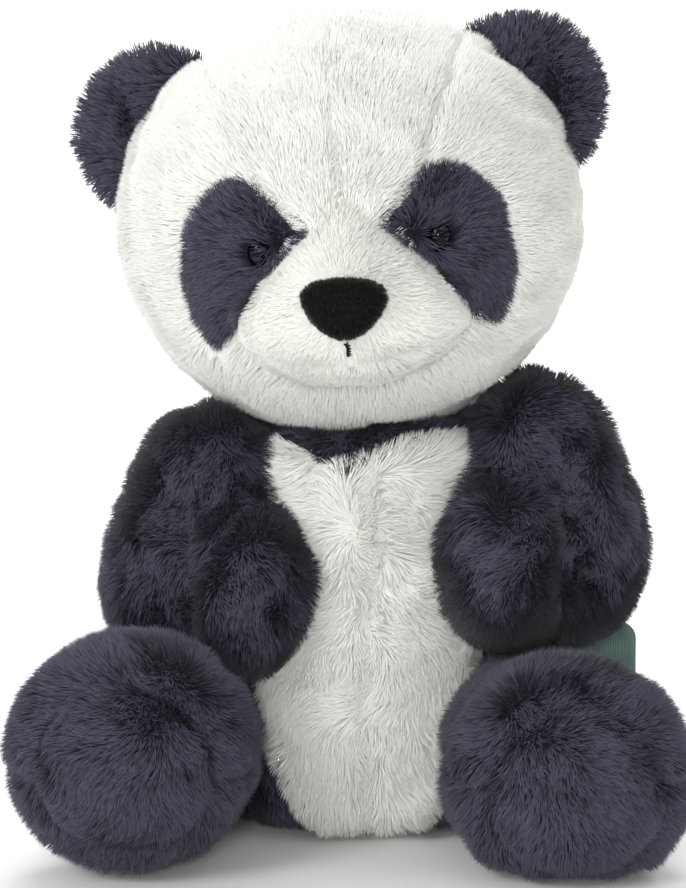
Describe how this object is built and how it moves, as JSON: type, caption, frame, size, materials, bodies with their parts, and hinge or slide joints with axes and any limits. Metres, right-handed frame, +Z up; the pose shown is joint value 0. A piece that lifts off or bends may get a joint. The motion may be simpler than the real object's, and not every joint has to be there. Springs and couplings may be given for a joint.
{
  "type": "plush panda",
  "caption": "Sitting plush panda: round head with muzzle, eye patches and ears, pear-shaped body with a pale bib, folded arms and big-footed legs that swing on soft joints.",
  "frame": {"origin": "on the floor under the middle of the toy's box", "axes": "+Z up; the toy faces -Y, with its right-hand side towards -X"},
  "size_m": [0.1806, 0.1532, 0.2267],
  "materials": {
    "white_plush": "warm white long-pile plush",
    "navy_plush": "blue-black long-pile plush",
    "nose_cloth": "black short-loop cloth",
    "mouth_thread": "black twisted thread",
    "label_ribbon": "grey-green ribbed woven ribbon",
    "eye_gloss": "polished black",
    "eye_washer": "natural",
    "stuffing": "white polyester fibre filling",
    "pellet_cloth": "plain woven pouch of plastic pellets"
  },
  "bodies": {
    "torso": {"shoulder_yoke": "navy_plush", "belly_left": "white_plush", "side_left": "navy_plush", "back_left": "navy_plush", "belly_right": "white_plush", "side_right": "navy_plush", "back_right": "navy_plush", "seat_panel": "navy_plush", "body_filling": "stuffing", "pellet_bag": "pellet_cloth", "side_label": "label_ribbon"},
    "neck": {"neck_filling": "stuffing"},
    "head": {"forehead_left": "white_plush", "cheek_left": "white_plush", "eye_patch_left": "navy_plush", "head_back_left": "white_plush", "forehead_right": "white_plush", "cheek_right": "white_plush", "eye_patch_right": "navy_plush", "head_back_right": "white_plush", "eye_left": "eye_gloss", "eye_washer_left": "eye_washer", "eye_right": "eye_gloss", "eye_washer_right": "eye_washer", "muzzle_top": "white_plush", "muzzle_chin": "white_plush", "muzzle_filling": "stuffing", "nose": "nose_cloth", "mouth_stitch": "mouth_thread", "head_filling": "stuffing"},
    "ear_left": {"ear_front_left": "navy_plush", "ear_back_left": "navy_plush"},
    "ear_right": {"ear_front_right": "navy_plush", "ear_back_right": "navy_plush"},
    "arm_left": {"arm_outer_left": "navy_plush", "arm_inner_left": "navy_plush", "arm_filling_left": "stuffing"},
    "arm_right": {"arm_outer_right": "navy_plush", "arm_inner_right": "navy_plush", "arm_filling_right": "stuffing"},
    "leg_left": {"sole_left": "navy_plush", "leg_top_left": "navy_plush", "leg_under_left": "navy_plush", "leg_filling_left": "stuffing"},
    "leg_right": {"sole_right": "navy_plush", "leg_top_right": "navy_plush", "leg_under_right": "navy_plush", "leg_filling_right": "stuffing"}
  },
  "joints": [
    {"name": "neck_turn", "type": "hinge", "parent": "torso", "child": "neck", "pos_m": [0.003, 0.02769, 0.112], "axis": [0, 0, 1], "range_deg": [-15, 15]},
    {"name": "head_nod", "type": "hinge", "parent": "neck", "child": "head", "pos_m": [0.003, 0.02769, 0.112], "axis": [-1, 0, 0], "range_deg": [-2, 10]},
    {"name": "ear_flex_left", "type": "hinge", "parent": "head", "child": "ear_left", "pos_m": [-0.05246, 0.02861, 0.19451], "axis": [0.4211, -0.0196, 0.9068], "range_deg": [-20, 20], "stiffness_Nm_per_rad": 0.004},
    {"name": "ear_flex_right", "type": "hinge", "parent": "head", "child": "ear_right", "pos_m": [0.04697, 0.02477, 0.20444], "axis": [-0.592, 0.0196, 0.8057], "range_deg": [-20, 20], "stiffness_Nm_per_rad": 0.004},
    {"name": "shoulder_swing_left", "type": "hinge", "parent": "torso", "child": "arm_left", "pos_m": [-0.033, 0.02769, 0.098], "axis": [-1, 0, 0], "range_deg": [0, 28]},
    {"name": "shoulder_swing_right", "type": "hinge", "parent": "torso", "child": "arm_right", "pos_m": [0.047, 0.02769, 0.106], "axis": [-1, 0, 0], "range_deg": [0, 28]},
    {"name": "hip_swing_left", "type": "hinge", "parent": "torso", "child": "leg_left", "pos_m": [-0.044, 0.00969, 0.031], "axis": [-1, 0, 0], "range_deg": [-20, 4]},
    {"name": "hip_swing_right", "type": "hinge", "parent": "torso", "child": "leg_right", "pos_m": [0.044, 0.00969, 0.029], "axis": [-1, 0, 0], "range_deg": [-20, 4]}
  ]
}
